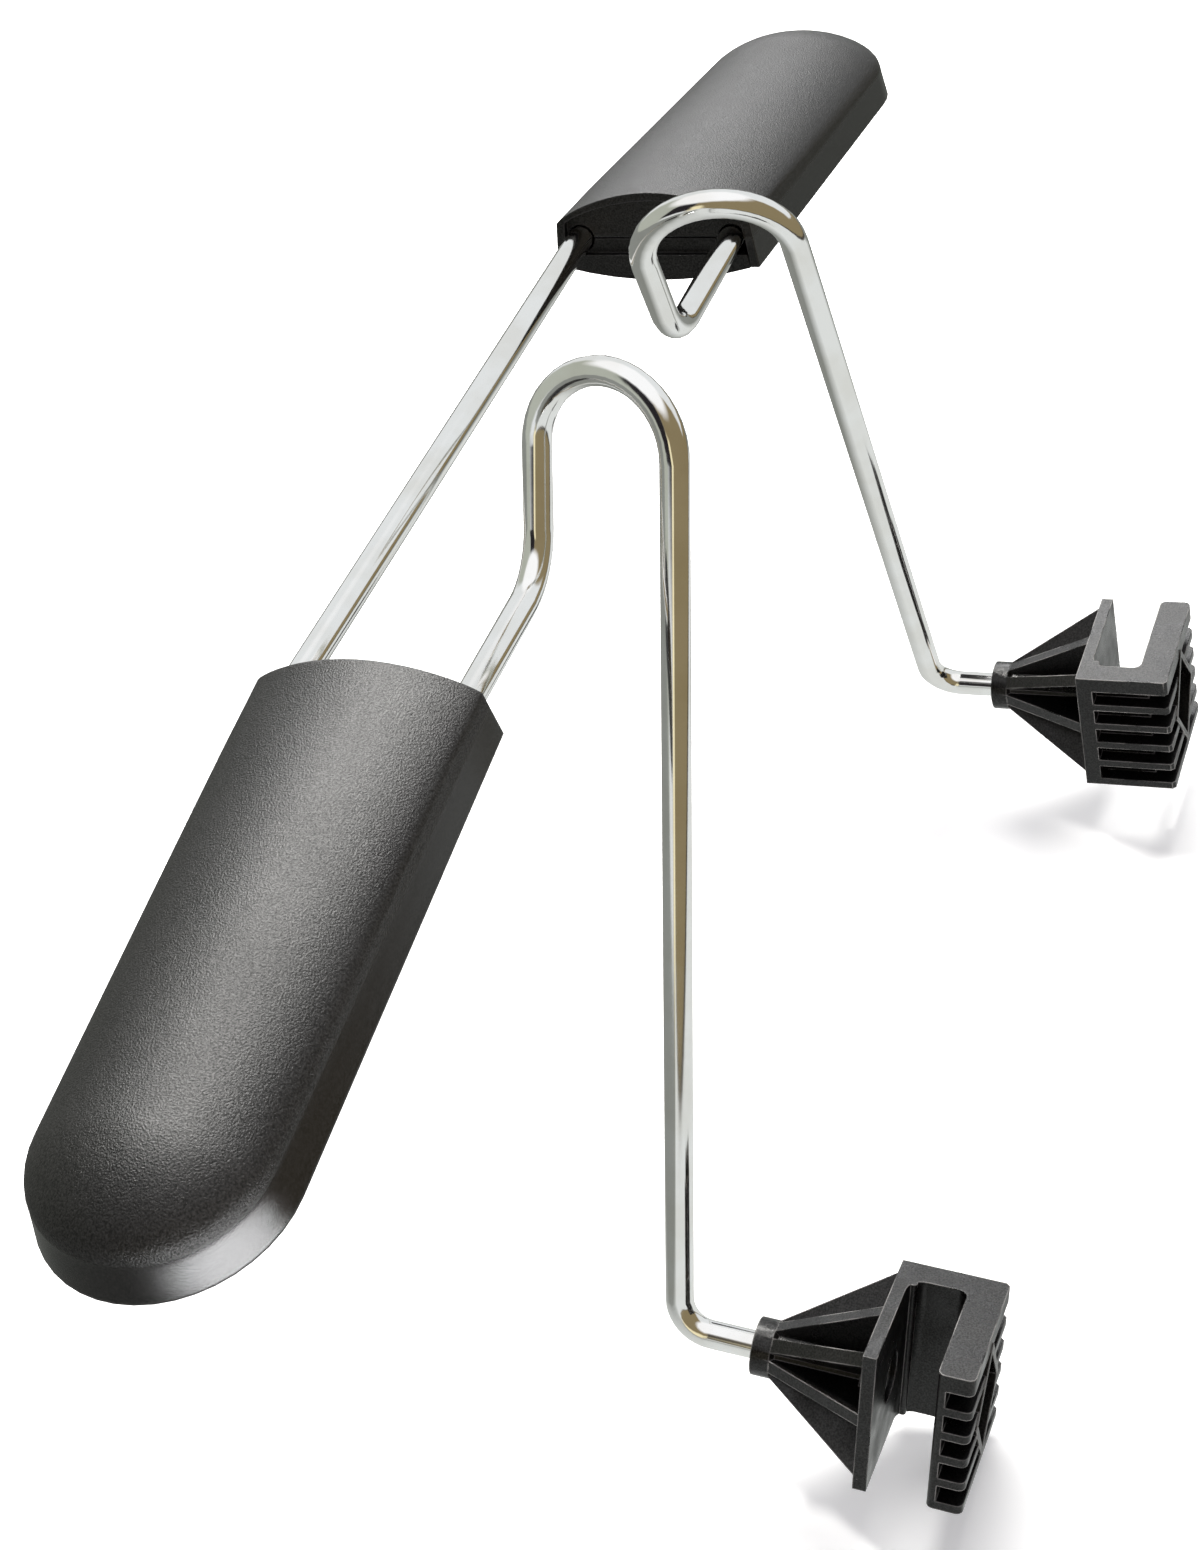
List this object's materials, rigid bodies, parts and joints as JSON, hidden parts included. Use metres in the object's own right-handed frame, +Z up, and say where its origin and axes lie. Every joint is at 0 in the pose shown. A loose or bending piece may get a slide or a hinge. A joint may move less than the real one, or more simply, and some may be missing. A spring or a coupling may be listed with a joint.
{
  "type": "car headrest hanger",
  "caption": "Coat hanger for the back of a car seat: a bent wire frame with two rounded shoulders and slotted clips that hook on the headrest posts.",
  "frame": {"origin": "midway between the axes of the two headrest posts, at the height of the wire's feet, where the legs bend towards the clips", "axes": "+X along the hanger towards its near shoulder, +Y from the shoulders towards the headrest posts, +Z up"},
  "size_m": [0.4274, 0.135, 0.2182],
  "materials": {
    "chromed_wire": "bright chrome plate on steel wire",
    "shoulder_plastic": "satin black with a fine grain",
    "base_plastic": "satin black",
    "clip_plastic": "slightly glossy black nylon",
    "screw_steel": "zinc-plated steel",
    "washer_steel": "plain spring steel"
  },
  "bodies": {
    "frame": {"wire_frame": "chromed_wire", "near_shoulder_cover": "shoulder_plastic", "near_shoulder_base": "base_plastic", "near_screw_1": "screw_steel", "near_screw_2": "screw_steel", "near_screw_3": "screw_steel", "near_retaining_washer": "washer_steel", "far_shoulder_cover": "shoulder_plastic", "far_shoulder_base": "base_plastic", "far_screw_1": "screw_steel", "far_screw_2": "screw_steel", "far_screw_3": "screw_steel", "far_retaining_washer": "washer_steel"},
    "near_clip_body": {"near_clip": "clip_plastic"},
    "far_clip_body": {"far_clip": "clip_plastic"}
  },
  "joints": [
    {"name": "near_clip_swivel", "type": "hinge", "parent": "frame", "child": "near_clip_body", "pos_m": [0.1093, -0.03492, -0.00238], "axis": [0, 0.99, -0.1409], "continuous": true},
    {"name": "far_clip_swivel", "type": "hinge", "parent": "frame", "child": "far_clip_body", "pos_m": [-0.1093, -0.03475, 0], "axis": [0, 1, 0], "continuous": true}
  ]
}
